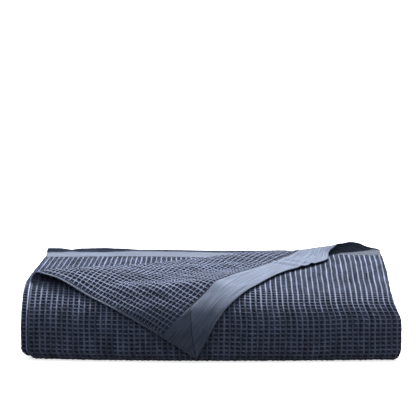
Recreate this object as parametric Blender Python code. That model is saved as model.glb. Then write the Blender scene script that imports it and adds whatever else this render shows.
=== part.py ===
"""A waffle weave cotton blanket, folded flat, with one top corner turned over.

One sheet of cloth. It is folded across its width into four panels, one on the
next, and this pack of four is then folded along its length into six runs. The
first run is the top, which goes round the front and back along the bottom, and
the other four zigzag inside it. The top panel's back left corner is turned
over a soft diagonal roll, and its tip hangs down the front.

Every point of the flat cloth has a place (u, v): u runs across the width from
the left edge of the top panel, and v along the length from the back hem of the
top. The sheet is cut into faces while it is flat, and then folded.

Metres. +Z is up, and the front faces -Y.
"""

import math
from collections import namedtuple

import bmesh
import bpy
from mathutils import Vector

# The cloth and its layers
CLOTH_THICKNESS = 0.0030
LAYER_PITCH = 0.0046
TOP_OFFSET = 1.5 * LAYER_PITCH

# Across the width: where the free edges and the folds of the four panels lie
TOP_EDGE_X = -0.2730
LEFT_FOLD_X = -0.2785
RIGHT_FOLD_X = 0.2775
INNER_EDGE_X = -0.2680

# Along the length: the runs of the pack, and the bends between them
STACK_DEPTH = 0.374
SHOULDER_RADIUS = 0.05175
FOOT_RADIUS = 0.02975
TURN_RADIUS = 2 * LAYER_PITCH
TOP_RUN = 0.302
BACK_TURN_Y = (0.1695, 0.1640)
FRONT_TURN_Y = (-0.1485, -0.1255)
INNER_HEM_Y = 0.1640

# How far the hem of the second panel reaches back past that of the top one
HEM_FAN = 0.010

# The turned corner: the crease on the unrolled top, in x and in the distance
# behind the shoulder, and the soft roll along it
CREASE_LEFT = (TOP_EDGE_X, 0.009)
CREASE_RIGHT = (0.268, TOP_RUN)
FLAP_REST = 0.0050
FLAP_SLIDE = 0.0115
FLAP_SLIDE_REACH = 0.060
FLAP_STRETCH = 1.03
FLAP_EASE = 0.006
HANG_STRETCH = 1.10
TIP_CLEARANCE = 0.003
ROLL_HOLD = 0.020
ROLL_HOLD_SHARE = 0.30

# Where the corner's hem draws in as it hangs, in the flat cloth's own place
DRAW_IN = 0.010
DRAW_U = 0.085
DRAW_REACH = (0.090, 0.045)

# How the back hem's free edge curls up at the left, and less so at the right
LIP_DEPTH = 0.020
LIP_LEFT = 0.0075
LIP_RIGHT = 0.0050
LIP_BETWEEN = 0.0010

# The stack's unevenness
LEFT_SETBACK = 0.018
RIGHT_SETBACK = 0.011
RIGHT_NARROWING = 0.040
LEFT_NARROWING = 0.036
FOOT_NARROWING = 0.025
BACK_RISE = 0.035
BACK_RISE_DEPTH = (0.120, 0.370)
FRONT_DROOP = 0.13
DROOP_DEPTH = (0.015, 0.100)
RIGHT_DROOP_DEPTH = 0.100
TOP_WAVE = 0.010

# The middle of its box, before it is moved to stand on the origin
CENTRE_X = -0.0005
CENTRE_Y = -0.0029

# How finely the cloth is cut
PANEL_STEPS = 6
FOLD_STEPS = 4
ROLL_CUT_STEP = 0.0055
ROLL_CUTS = 8
SETTLE_CUTS = (0.060, 0.085, 0.120)
SHOULDER_CUT_STEP = 0.017
SHOULDER_CUTS = 7

CLOTH_BLUE = (0.043, 0.060, 0.098, 1.0)

# Along the roll, from its left end: half its height, how far it stands out behind
# the crease, how much it flares up, and how far in front of it the flap comes to rest
RollRow = namedtuple("RollRow", "share radius reach flare settle")
ROLL = (
    RollRow(share=0.00, radius=0.0084, reach=0.0084, flare=0.0000, settle=0.045),
    RollRow(share=0.17, radius=0.0080, reach=0.0080, flare=0.0000, settle=0.070),
    RollRow(share=0.32, radius=0.0068, reach=0.0068, flare=0.0000, settle=0.080),
    RollRow(share=0.48, radius=0.0068, reach=0.0068, flare=0.0000, settle=0.070),
    RollRow(share=0.60, radius=0.0072, reach=0.0072, flare=0.0000, settle=0.055),
    RollRow(share=0.75, radius=0.0050, reach=0.0060, flare=0.0000, settle=0.040),
    RollRow(share=0.88, radius=0.0073, reach=0.0130, flare=0.0045, settle=0.026),
    RollRow(share=1.00, radius=0.0060, reach=0.0180, flare=0.0080, settle=0.022),
)

Leg = namedtuple("Leg", "length radius turn steps")


# ---------------------------------------------------------------- easing


def smooth(part):
    """0 to 1 with level ends."""
    part = min(max(part, 0.0), 1.0)
    return part * part * (3 - 2 * part)


# ---------------------------------------------------------------- the pack

FACE_Y = -STACK_DEPTH / 2 + TOP_OFFSET + CLOTH_THICKNESS / 2
SHOULDER_Y = FACE_Y + SHOULDER_RADIUS
BOTTOM_Z = TOP_OFFSET + CLOTH_THICKNESS / 2
TOP_Z = BOTTOM_Z + 20 * LAYER_PITCH


def run(start, end, steps):
    """A straight leg between two places in Y."""
    return Leg(length=abs(end - start), radius=0.0, turn=0.0, steps=steps)


def bend(radius, turn, steps):
    """A round leg, whose cloth length is that of its outermost layer."""
    angle = math.radians(turn)
    return Leg(length=(radius + TOP_OFFSET) * abs(angle), radius=radius, turn=angle, steps=steps)


def pack_legs():
    """The way of the pack, from the hem on top to the hem inside."""
    face = TOP_Z - BOTTOM_Z - SHOULDER_RADIUS - FOOT_RADIUS
    legs = [
        run(0.0, TOP_RUN, 7),
        bend(SHOULDER_RADIUS, 90, 6),
        run(0.0, face, 1),
        bend(FOOT_RADIUS, 90, 4),
        run(FACE_Y + FOOT_RADIUS, BACK_TURN_Y[0], 3),
    ]
    for back, front, beyond in zip(BACK_TURN_Y, FRONT_TURN_Y, (BACK_TURN_Y[1], INNER_HEM_Y)):
        legs.append(bend(TURN_RADIUS, 180, 5))
        legs.append(run(back, front, 3))
        legs.append(bend(TURN_RADIUS, -180, 5))
        legs.append(run(front, beyond, 3))
    return legs


LEGS = pack_legs()
CLOTH_LENGTH = sum(leg.length for leg in LEGS)


def rows():
    """Where the flat cloth is cut across its length."""
    places = [0.0]
    for leg in LEGS:
        start = places[-1]
        places += [start + leg.length * (i + 1) / leg.steps for i in range(leg.steps)]
    return sorted(places + [LIP_DEPTH / 2, LIP_DEPTH])


def pack_place(v):
    """The middle of the pack at v, as y and z, and the way its outer side faces."""
    y = SHOULDER_Y + TOP_RUN
    z = TOP_Z
    heading = math.pi
    for leg in LEGS:
        part = min(max(v, 0.0), leg.length)
        if leg.turn:
            side = math.copysign(1.0, leg.turn)
            swing = leg.turn * part / leg.length
            centre_y = y - side * leg.radius * math.sin(heading)
            centre_z = z + side * leg.radius * math.cos(heading)
            heading += swing
            y = centre_y + side * leg.radius * math.sin(heading)
            z = centre_z - side * leg.radius * math.cos(heading)
        else:
            y += part * math.cos(heading)
            z += part * math.sin(heading)
        v -= leg.length
        if v <= 0.0:
            break
    return y, z, math.sin(heading), -math.cos(heading)


# ------------------------------------------------------------ the four panels

FOLD_LENGTH = math.pi * LAYER_PITCH / 2
PANEL_ENDS = (
    (TOP_EDGE_X, RIGHT_FOLD_X),
    (RIGHT_FOLD_X, LEFT_FOLD_X),
    (LEFT_FOLD_X, RIGHT_FOLD_X),
    (RIGHT_FOLD_X, INNER_EDGE_X),
)
TOP_WIDTH = RIGHT_FOLD_X - TOP_EDGE_X
CLOTH_WIDTH = sum(abs(end - start) for start, end in PANEL_ENDS) + 3 * FOLD_LENGTH


def columns():
    """Where the flat cloth is cut across its width."""
    places = [0.0]
    for panel, (start, end) in enumerate(PANEL_ENDS):
        edge = places[-1]
        width = abs(end - start)
        places += [edge + width * (i + 1) / PANEL_STEPS for i in range(PANEL_STEPS)]
        if panel < 3:
            edge = places[-1]
            places += [edge + FOLD_LENGTH * (i + 1) / FOLD_STEPS for i in range(FOLD_STEPS)]
    return places


def across(u):
    """The place in x of u, its height in the pack of four, and how far along the panels it is."""
    for panel, (start, end) in enumerate(PANEL_ENDS):
        width = abs(end - start)
        way = math.copysign(1.0, end - start)
        offset = TOP_OFFSET - panel * LAYER_PITCH
        if u <= width or panel == 3:
            return start + way * min(u, width), offset, panel + min(u / width, 1.0)
        u -= width
        if u <= FOLD_LENGTH:
            swing = math.pi * u / FOLD_LENGTH
            x = end + way * LAYER_PITCH / 2 * math.sin(swing)
            return x, offset - LAYER_PITCH / 2 * (1 - math.cos(swing)), panel + 1.0
        u -= FOLD_LENGTH
    return x, offset, 4.0


def hem_reach(share):
    """How far the back hem lies behind the top panel's, from 0 at its fold to the left end."""
    if share <= 1.0:
        return 0.0
    return HEM_FAN * min(share - 1.0, 1.0)


# --------------------------------------------------------- the turned corner

CREASE = Vector(CREASE_RIGHT) - Vector(CREASE_LEFT)
CREASE_LENGTH = CREASE.length
CREASE_WAY = CREASE.normalized()
CREASE_OUT = Vector((-CREASE_WAY.y, CREASE_WAY.x))


def roll_row(share):
    """The roll at a share of the crease, from the table, eased between its rows."""
    share = min(max(share, ROLL[0].share), ROLL[-1].share)
    for low, high in zip(ROLL, ROLL[1:]):
        if share <= high.share:
            part = smooth((share - low.share) / (high.share - low.share))
            return RollRow(*(a + (b - a) * part for a, b in zip(low, high)))
    return ROLL[-1]


def behind_crease(plan):
    """How far a point of the flat top panel lies behind the crease."""
    return (plan - Vector(CREASE_LEFT)).dot(CREASE_OUT)


def turned(plan):
    """Where a point of the flat top panel goes as the corner is turned: plan place and rise."""
    behind = behind_crease(plan)
    along = (plan - Vector(CREASE_LEFT)).dot(CREASE_WAY)
    row = roll_row(along / CREASE_LENGTH)
    girth = math.pi * math.sqrt((row.reach**2 + row.radius**2) / 2)
    even = (row.reach**2 - row.radius**2) / (row.reach**2 + row.radius**2) / 4
    if behind < girth:
        part = math.pi * behind / girth
        swing = part - even * math.sin(2 * part)
        out = row.reach * math.sin(swing)
        rise = row.radius * (1 - math.cos(swing)) + row.flare * math.sin(swing)
    else:
        back = behind - girth
        hold = ROLL_HOLD * smooth(1 - along / CREASE_LENGTH / ROLL_HOLD_SHARE)
        ease = (1 + math.cos(math.pi * min(max((back - hold) / row.settle, 0.0), 1.0))) / 2
        rise = FLAP_REST + (2 * row.radius - FLAP_REST) * ease
        slid = smooth(back / FLAP_SLIDE_REACH)
        out = -FLAP_STRETCH * back - FLAP_EASE * slid
        along += FLAP_SLIDE * slid
    return Vector(CREASE_LEFT) + along * CREASE_WAY + out * CREASE_OUT, rise


def lip(x, v):
    """How far the back hem's free edge curls up."""
    dip = 0.35 * smooth(1 - abs(x + 0.222) / 0.030)
    left = LIP_LEFT * smooth((-0.090 - x) / 0.050) * (1 - dip)
    right = LIP_RIGHT * smooth((x - 0.140) / 0.060)
    return (left + right + LIP_BETWEEN) * smooth(1 - v / LIP_DEPTH)


def draw_in(u, v):
    """How far the hanging hem draws in to the left."""
    away = math.hypot((u - DRAW_U) / DRAW_REACH[0], v / DRAW_REACH[1])
    return DRAW_IN * smooth(1 - away)


def over_front(distance, rise):
    """A point above the outer layer, as y and z, given its distance behind the shoulder."""
    radius = SHOULDER_RADIUS + TOP_OFFSET
    centre_z = TOP_Z - SHOULDER_RADIUS
    if distance >= 0.0:
        return SHOULDER_Y + distance, centre_z + radius + rise
    laid = radius + min(rise, FLAP_REST)
    swing = min(-distance / laid, math.pi / 2)
    below = HANG_STRETCH * max(-distance - laid * math.pi / 2, 0.0)
    y = SHOULDER_Y - (radius + rise) * math.sin(swing)
    return y, centre_z + (radius + rise) * math.cos(swing) - below


# ------------------------------------------------------------- the folded cloth


def uneven(x, y, z):
    """The stack's own unevenness, which leaves its underside flat."""
    depth = y + STACK_DEPTH / 2
    frontness = smooth(1 - depth / STACK_DEPTH)
    height = z / TOP_Z
    reach = abs(x) / RIGHT_FOLD_X
    setback = LEFT_SETBACK if x < 0.0 else RIGHT_SETBACK
    wave = math.sin(11.0 * x + 0.8) * math.cos(9.0 * y + 0.5) + 0.6 * math.sin(23.0 * x - 13.0 * y)
    droop_end = DROOP_DEPTH[1] + RIGHT_DROOP_DEPTH * smooth((x + 0.02) / 0.27)
    droop = 1 - smooth((depth - DROOP_DEPTH[0]) / (droop_end - DROOP_DEPTH[0]))
    rise = smooth((depth - BACK_RISE_DEPTH[0]) / (BACK_RISE_DEPTH[1] - BACK_RISE_DEPTH[0]))
    if x > 0.0:
        x *= 1 - RIGHT_NARROWING * frontness * smooth((height - 0.5) / 0.5)
    else:
        x *= 1 - LEFT_NARROWING * smooth((depth - 0.03) / 0.34) * smooth((height - 0.5) / 0.5)
    x *= 1 - FOOT_NARROWING * smooth((0.2 - height) / 0.2)
    y += setback * frontness * reach**2.2
    above = z - CLOTH_THICKNESS / 2
    above *= (1 - FRONT_DROOP * droop) * (1 + BACK_RISE * rise) * (1 + TOP_WAVE * wave)
    return Vector((x - CENTRE_X, y - CENTRE_Y, CLOTH_THICKNESS / 2 + above))


def folded(u, v):
    """Where a point of the flat cloth lies in the folded blanket."""
    x, offset, share = across(u)
    plan = Vector((x, TOP_RUN - v))
    if share < 1.0 and v < TOP_RUN + LEGS[1].length and behind_crease(plan) > 0.0:
        raised = lip(x, v) * (1 - smooth(behind_crease(plan) / 0.030))
        place, rise = turned(plan)
        y, z = over_front(place.y, rise + raised)
        z = max(z, TIP_CLEARANCE + CLOTH_THICKNESS / 2)
        return uneven(place.x - draw_in(u, v), y, z)
    y, z, out_y, out_z = pack_place(v)
    if v < TOP_RUN:
        y += hem_reach(share) * (1 - v / TOP_RUN)
    return uneven(x, y + offset * out_y, z + offset * out_z + lip(x, v))


# -------------------------------------------------------------- the flat cloth


def flat_cloth():
    """The cloth laid flat and cut into faces along the folds."""
    bm = bmesh.new()
    lines = [[bm.verts.new((u, v, 0.0)) for u in columns()] for v in rows()]
    for near, far in zip(lines, lines[1:]):
        for i in range(len(near) - 1):
            bm.faces.new((near[i], far[i], far[i + 1], near[i + 1]))
    return bm


def flat_line(plan, way):
    """A straight line on the unrolled top, as a point and a normal on the flat cloth."""
    point = Vector((plan.x - TOP_EDGE_X, TOP_RUN - plan.y, 0.0))
    return point, Vector((way.y, way.x, 0.0))


def cut(bm, plan, way, wanted):
    """Cuts the top panel's faces whose middle is wanted along a line on the unrolled top."""
    point, normal = flat_line(plan, way)
    faces = []
    for face in bm.faces:
        middle = face.calc_center_median()
        if middle.x < TOP_WIDTH and middle.y < TOP_RUN + LEGS[1].length:
            if wanted(Vector((middle.x + TOP_EDGE_X, TOP_RUN - middle.y))):
                faces.append(face)
    edges = {edge for face in faces for edge in face.edges}
    verts = {vert for face in faces for vert in face.verts}
    bmesh.ops.bisect_plane(
        bm, geom=faces + list(edges) + list(verts), dist=0.0002, plane_co=point, plane_no=normal
    )


def cut_for_corner(bm):
    """Cuts along the crease and its roll, and where the turned corner goes over the shoulder."""
    start = Vector(CREASE_LEFT)
    behind = [ROLL_CUT_STEP * i for i in range(ROLL_CUTS)] + list(SETTLE_CUTS)
    for distance in behind:
        cut(bm, start + distance * CREASE_OUT, CREASE_WAY, lambda plan: behind_crease(plan) > -0.08)
    middle_radius = roll_row(0.25).radius
    for i in range(SHOULDER_CUTS):
        shoulder = Vector((0.0, -SHOULDER_CUT_STEP * i))
        away = (shoulder - start).dot(CREASE_OUT)
        mirrored = shoulder - (2 * away - math.pi * middle_radius) * CREASE_OUT
        way = Vector((CREASE_WAY.x**2 - CREASE_WAY.y**2, 2 * CREASE_WAY.x * CREASE_WAY.y))
        cut(bm, mirrored, way, lambda plan: behind_crease(plan) > SETTLE_CUTS[0])


def blanket():
    """The whole folded blanket as one closed solid."""
    bm = flat_cloth()
    cut_for_corner(bm)
    bmesh.ops.triangulate(bm, faces=bm.faces[:], quad_method="SHORT_EDGE", ngon_method="BEAUTY")
    for vert in bm.verts:
        vert.co = folded(vert.co.x, vert.co.y)
    bm.normal_update()
    mesh = bpy.data.meshes.new("blanket")
    bm.to_mesh(mesh)
    bm.free()
    mesh.shade_smooth()
    cloth = bpy.data.objects.new("blanket", mesh)
    bpy.context.scene.collection.objects.link(cloth)
    solid = cloth.modifiers.new("thickness", "SOLIDIFY")
    solid.thickness = CLOTH_THICKNESS
    solid.offset = 0.0
    cloth.data.materials.append(cotton())
    return cloth


def cotton():
    """Slate blue cotton."""
    material = bpy.data.materials.new("waffle_cotton")
    material.use_nodes = True
    shader = material.node_tree.nodes["Principled BSDF"]
    shader.inputs["Base Color"].default_value = CLOTH_BLUE
    shader.inputs["Roughness"].default_value = 0.9
    shader.inputs["Metallic"].default_value = 0.0
    return material


def clear_scene():
    for item in list(bpy.data.objects):
        bpy.data.objects.remove(item, do_unlink=True)


def main():
    clear_scene()
    blanket()


main()
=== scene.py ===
"""The look of a waffle weave cotton blanket, folded flat with one top corner turned over.

The whole cloth is one grid of waffle cells in its flat place (u, v), folded by
the same mapping as its solid, but with a sharper foot, a curled hem and soft
ridges. Cells that show are modelled with their ridges, and hidden ones are plain
faces.
"""

import math
from collections import namedtuple

import bpy
import numpy as np
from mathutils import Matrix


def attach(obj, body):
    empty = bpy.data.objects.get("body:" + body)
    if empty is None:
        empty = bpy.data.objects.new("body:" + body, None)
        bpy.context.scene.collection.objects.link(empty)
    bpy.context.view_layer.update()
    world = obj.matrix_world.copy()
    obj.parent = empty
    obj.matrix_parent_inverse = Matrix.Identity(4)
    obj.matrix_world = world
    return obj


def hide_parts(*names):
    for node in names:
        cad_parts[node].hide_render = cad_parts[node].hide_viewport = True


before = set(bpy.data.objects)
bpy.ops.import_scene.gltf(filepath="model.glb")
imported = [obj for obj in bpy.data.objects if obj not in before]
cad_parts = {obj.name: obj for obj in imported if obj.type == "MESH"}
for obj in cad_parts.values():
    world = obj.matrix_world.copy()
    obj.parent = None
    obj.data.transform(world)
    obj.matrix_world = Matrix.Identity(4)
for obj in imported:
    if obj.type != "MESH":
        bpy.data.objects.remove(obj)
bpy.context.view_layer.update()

# ------------------------------------------------------------------ the fold

# The cloth and its layers, four panels to a pack, and how far the outermost layer's
# middle lies from the pack's
CLOTH_THICKNESS = 0.0030
LAYER_PITCH = 0.0046
TOP_OFFSET = 1.5 * LAYER_PITCH

# Where the top panel's free edge, the side folds and the lowest panel's edge lie in x
TOP_EDGE_X = -0.2730
LEFT_FOLD_X = -0.2785
RIGHT_FOLD_X = 0.2775
INNER_EDGE_X = -0.2680

# The stack's depth, the radii on which the pack turns, the flat run of its top, where
# its back and front turns and its inner hem lie in y, and how far behind the top
# panel's hem the others' lie
STACK_DEPTH = 0.374
SHOULDER_RADIUS = 0.05175
FOOT_RADIUS = 0.0085
TURN_RADIUS = 2 * LAYER_PITCH
TOP_RUN = 0.302
BACK_TURN_Y = (0.1695, 0.1640)
FRONT_TURN_Y = (-0.1485, -0.1255)
INNER_HEM_Y = 0.1640
HEM_FAN = 0.010

# The turned corner: its crease in plan, the height at which it rests, how far it slides
# along the crease and eases forward over the same reach, and how much it stretches
CREASE_LEFT = np.array((TOP_EDGE_X, 0.009))
CREASE_RIGHT = np.array((0.268, TOP_RUN))
FLAP_REST = 0.0050
FLAP_SLIDE = 0.0115
FLAP_EASE = 0.006
FLAP_SLIDE_REACH = 0.060
FLAP_STRETCH = 1.03
HANG_STRETCH = 1.10

# Behind the crease, the hem's curl fades out over the first of these, and the soft
# ridges grow in from the second's start over its length. A soft ridge fades out over
# this share of its length, on either side of its end.
CURL_FADE = 0.030
RIDGE_GROWTH = (0.020, 0.020)
RIDGE_END = 0.25

# The stack's unevenness: how far its front ends stand back, how much its ends narrow
# at the top and at the foot, how much its back rises, its front droops and its top waves
LEFT_SETBACK = 0.018
RIGHT_SETBACK = 0.009
SETBACK_POWER = 2.2
RIGHT_NARROWING = 0.040
LEFT_NARROWING = 0.036
LEFT_FOOT_NARROWING = 0.034
RIGHT_FOOT_NARROWING = 0.018
BACK_RISE = 0.035
BACK_RISE_DEPTH = (0.120, 0.370)
FRONT_DROOP = 0.13
DROOP_DEPTH = (0.015, 0.100)
RIGHT_DROOP_DEPTH = 0.100
TOP_WAVE = 0.010

# Where some of that starts and the length over which it grows, in x, in depth from the
# front, or as shares of the stack's height
RIGHT_DROOP_X = (-0.02, 0.27)
RIGHT_NARROWING_HEIGHT = (0.68, 0.32)
LEFT_NARROWING_DEPTH = (0.11, 0.26)
LEFT_NARROWING_HEIGHT = (0.5, 0.5)
FOOT_NARROWING_HEIGHT = 0.2

CENTRE_X = -0.0005
CENTRE_Y = -0.0029
HEM_WIDTH = 0.050

# Along the roll, from its left end: half its height, how far it stands out behind
# the crease, and how far in front of it the flap comes to rest
RollRow = namedtuple("RollRow", "share radius reach settle")
ROLL = (
    RollRow(share=0.00, radius=0.0084, reach=0.0084, settle=0.045),
    RollRow(share=0.17, radius=0.0080, reach=0.0080, settle=0.070),
    RollRow(share=0.32, radius=0.0068, reach=0.0068, settle=0.080),
    RollRow(share=0.48, radius=0.0068, reach=0.0068, settle=0.070),
    RollRow(share=0.60, radius=0.0072, reach=0.0072, settle=0.055),
    RollRow(share=0.75, radius=0.0050, reach=0.0060, settle=0.040),
    RollRow(share=0.86, radius=0.0062, reach=0.0062, settle=0.028),
    RollRow(share=0.91, radius=0.0078, reach=0.0100, settle=0.024),
    RollRow(share=0.945, radius=0.0102, reach=0.0050, settle=0.024),
    RollRow(share=1.00, radius=0.0110, reach=0.0040, settle=0.022),
)

# How far the roll keeps its height before it settles, up to a share of its length
ROLL_HOLD = 0.020
ROLL_HOLD_SHARE = 0.30

# Where the corner's hem draws in as it hangs, in the flat cloth's own place
DRAW_IN = 0.010
DRAW_U = 0.085
DRAW_REACH = (0.090, 0.045)

# Where the same hem draws in at the crest of the roll
CREST_DRAW = 0.016
CREST_X = 0.172
CREST_REACH = 0.075

# Soft ridges in the turned corner: from and to which place in plan, how wide and how high
SoftRidge = namedtuple("SoftRidge", "from_x from_y to_x to_y width height")
SOFT_RIDGES = (
    SoftRidge(from_x=-0.145, from_y=-0.013, to_x=-0.060, to_y=-0.010, width=0.028, height=0.0044),
    SoftRidge(from_x=-0.060, from_y=-0.010, to_x=0.020, to_y=0.006, width=0.028, height=0.0044),
    SoftRidge(from_x=-0.070, from_y=0.075, to_x=0.075, to_y=0.125, width=0.020, height=0.0020),
    SoftRidge(from_x=0.100, from_y=0.150, to_x=0.145, to_y=0.120, width=0.009, height=0.0034),
    SoftRidge(from_x=-0.008, from_y=-0.124, to_x=0.022, to_y=-0.072, width=0.005, height=0.0022),
    SoftRidge(from_x=-0.0245, from_y=-0.128, to_x=-0.0235, to_y=-0.142, width=0.004, height=0.0024),
    SoftRidge(from_x=0.122, from_y=0.175, to_x=0.165, to_y=0.140, width=0.009, height=0.0030),
)

# How tall the back hem's free edge curls up, by how far along the panels it is:
# on the top panel's right, and on the left of the panel that the turned corner bares.
# It curls on one radius.
LipRow = namedtuple("LipRow", "share height")
LIPS = (
    LipRow(share=0.70, height=0.0040),
    LipRow(share=0.86, height=0.0056),
    LipRow(share=0.96, height=0.0056),
    LipRow(share=1.00, height=0.0026),
    LipRow(share=1.07, height=0.0000),
    LipRow(share=1.20, height=0.0000),
    LipRow(share=1.29, height=0.0040),
    LipRow(share=1.72, height=0.0034),
    LipRow(share=1.79, height=0.0056),
    LipRow(share=1.825, height=0.0068),
    LipRow(share=1.897, height=0.0062),
    LipRow(share=1.930, height=0.0040),
    LipRow(share=1.962, height=0.0066),
    LipRow(share=2.00, height=0.0068),
    LipRow(share=2.08, height=0.0000),
)
LIP_CURL = 0.0068

# A stretch of the pack's path, and the radius and angle of its turn
Leg = namedtuple("Leg", "length radius turn")

# --------------------------------------------------------- the cloth's weave

CELL_WIDTH = 0.00825
CELL_LENGTH = 0.00650

# The cells are a little shorter over this length of the cloth, from the turned corner
CORNER_CELL_LENGTH = 0.00605
CORNER_LENGTH = 0.23

# True lengths are measured along the top panel at this u, from this far behind the
# shoulder down to the foot, in this many steps
MEASURED_U = 0.39
MEASURED_BEHIND = 0.06
MEASURED_PLACES = 1200

# Rows of cells in a hem, the woven edge and its outermost thread, and how steeply the
# mitre crosses the hem
HEM_ROWS = 8
SELVEDGE_WIDTH = 0.0028
SELVEDGE_THREAD = 0.0012
MITRE_SLOPE = 50.0 / 64.0

# Heights over the cloth's middle: of a hollow's floor, of a ridge over it, of the plain
# cloth, and of the hem's turned part. The last is the least height over the surface.
FLOOR_HEIGHT = -0.0009
WEAVE_DEPTH = 0.0023
PLAIN_OFFSET = 0.0006
HEM_TURN_OFFSET = -0.0011
FLOOR_CLEARANCE = 0.0001

# How much wider the hem is at its turned corner, and how far across and along that goes
BOW = 0.0072
BOW_WIDTH = 0.100
BOW_REACH = 0.090

# The four lines of a cell, as shares of it: a ridge's two edges, then its hollow's.
# They are even in the plain borders.
RIB_LINES = (0.0, 0.19, 0.31, 0.87)
CROSS_LINES = (0.0, 0.12, 0.26, 0.78)
HEM_LINES = (0.0, 0.25, 0.50, 0.75)
RIDGE_PROFILE = (1.0, 1.0, 0.0, 0.0)

# The ridges along and across the cloth, on its outer side and its reverse: how high
# they are and how pale, and how pale the hollow's far edge is. The ridges are paler
# yarn; the fall to dark down the walls and in the hollows is painted shade.
RIB_HEIGHT = (1.00, 0.84)
RIB_TONE = (0.966, 0.954)
CROSS_HEIGHT = (0.86, 1.00)
CROSS_TONE = (0.966, 0.9925)
CROSS_SIDE_TONE = (0.79, 0.55)

# How pale the woven edge and its outermost thread are, on the same two sides. The thread's paleness is
# a painted highlight along the edge.
SELVEDGE_TONE = (0.35, 0.65)
SELVEDGE_THREAD_HIGHLIGHT = (3.2, 1.2)

# How pale the hem's outer side is, on the top panel and on the others. The top panel's is darkened as
# painted shade, for the shade at its back crest.
HEM_OUTER_TONE_AND_SHADE = (0.42, 0.88)

# How soon the plain borders give way to the weave, at a hem and at a woven edge
BORDER_OVERLAP = 0.0002
HEM_FADE = 0.0014
SELVEDGE_FADE = 0.0016

# The weave's wander across and along the cloth: how far, and in radians a metre
Wave = namedtuple("Wave", "size by_u by_v")
DRIFT_ACROSS = (
    Wave(size=0.00032, by_u=9.0, by_v=31.0),
    Wave(size=0.00022, by_u=-17.0, by_v=83.0),
)
DRIFT_ALONG = (
    Wave(size=0.00050, by_u=27.0, by_v=-7.0),
    Wave(size=0.00035, by_u=71.0, by_v=23.0),
)
DRIFT_FADE_U = 0.03
DRIFT_FADE_V = 0.06

# How much single cells differ in place and in height, and the factors of their scatter
CELL_JITTER = 0.00016
CELL_JITTER_ALONG = 0.6
CELL_UNEVENNESS = 0.10
SCATTER_ACROSS = (12.9898, 78.233)
SCATTER_ALONG = (39.346, 11.135)
SCATTER_HEIGHT = (27.16, 51.77)
SCATTER_SIZE = 437.58

# Where the reverse starts to show and over how much: behind the crease, past the start
# of the bared panels, and short of their end
CREASE_SHOWS = (-0.003, 0.006)
START_SHOWS = (-0.001, 0.003)
END_SHOWS = (-0.002, 0.003)


def smooth(part):
    part = np.clip(part, 0.0, 1.0)
    return part * part * (3 - 2 * part)


def ramp(value, start, length):
    """A smooth rise from 0 to 1 that begins at one value and takes a length of them."""
    return smooth((value - start) / length)


FACE_Y = -STACK_DEPTH / 2 + TOP_OFFSET + CLOTH_THICKNESS / 2
SHOULDER_Y = FACE_Y + SHOULDER_RADIUS
BOTTOM_Z = TOP_OFFSET + CLOTH_THICKNESS / 2
TOP_Z = BOTTOM_Z + 20 * LAYER_PITCH


def run(start, end):
    return Leg(length=abs(end - start), radius=0.0, turn=0.0)


def bend(radius, turn):
    angle = math.radians(turn)
    return Leg(length=(radius + TOP_OFFSET) * abs(angle), radius=radius, turn=angle)


def pack_legs():
    face = TOP_Z - BOTTOM_Z - SHOULDER_RADIUS - FOOT_RADIUS
    legs = [
        run(0.0, TOP_RUN),
        bend(SHOULDER_RADIUS, 90),
        run(0.0, face),
        bend(FOOT_RADIUS, 90),
        run(FACE_Y + FOOT_RADIUS, BACK_TURN_Y[0]),
    ]
    for back, front, beyond in zip(BACK_TURN_Y, FRONT_TURN_Y, (BACK_TURN_Y[1], INNER_HEM_Y)):
        legs += [bend(TURN_RADIUS, 180), run(back, front), bend(TURN_RADIUS, -180), run(front, beyond)]
    return legs


LEGS = pack_legs()
LEG_ENDS = np.cumsum([leg.length for leg in LEGS])
CLOTH_LENGTH = LEG_ENDS[-1]
SHOULDER_END = LEG_ENDS[1]
FOOT_END = LEG_ENDS[3]
BACK_TURNS = ((LEG_ENDS[4], LEG_ENDS[5]), (LEG_ENDS[8], LEG_ENDS[9]))
HIDDEN_RUN = (LEG_ENDS[7], LEG_ENDS[8])


def pack_place(v):
    """The middle of the pack at v, as y and z, and the way its outer side faces."""
    out = [np.zeros_like(v) for _ in range(4)]
    y, z, heading, start = SHOULDER_Y + TOP_RUN, TOP_Z, math.pi, 0.0
    for i, leg in enumerate(LEGS):
        here = np.ones(v.shape, bool)
        if i > 0:
            here &= v > start
        if i < len(LEGS) - 1:
            here &= v <= start + leg.length
        part = v[here] - start
        ends = []
        for length in (part, np.array([leg.length])):
            if leg.turn:
                side = math.copysign(1.0, leg.turn)
                facing = heading + leg.turn * length / leg.length
                far_y = y + side * leg.radius * (np.sin(facing) - math.sin(heading))
                far_z = z - side * leg.radius * (np.cos(facing) - math.cos(heading))
            else:
                facing = heading + 0.0 * length
                far_y = y + length * math.cos(heading)
                far_z = z + length * math.sin(heading)
            ends.append((far_y, far_z, facing))
        out[0][here], out[1][here] = ends[0][0], ends[0][1]
        out[2][here], out[3][here] = np.sin(ends[0][2]), -np.cos(ends[0][2])
        y, z, heading = (float(value[0]) for value in ends[1])
        start += leg.length
    return out


FOLD_LENGTH = math.pi * LAYER_PITCH / 2
PANEL_ENDS = (
    (TOP_EDGE_X, RIGHT_FOLD_X),
    (RIGHT_FOLD_X, LEFT_FOLD_X),
    (LEFT_FOLD_X, RIGHT_FOLD_X),
    (RIGHT_FOLD_X, INNER_EDGE_X),
)
PANEL_WIDTHS = [abs(end - start) for start, end in PANEL_ENDS]
PANEL_STARTS = [sum(PANEL_WIDTHS[:i]) + i * FOLD_LENGTH for i in range(4)]
CLOTH_WIDTH = PANEL_STARTS[3] + PANEL_WIDTHS[3]
TOP_WIDTH = PANEL_WIDTHS[0]


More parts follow.
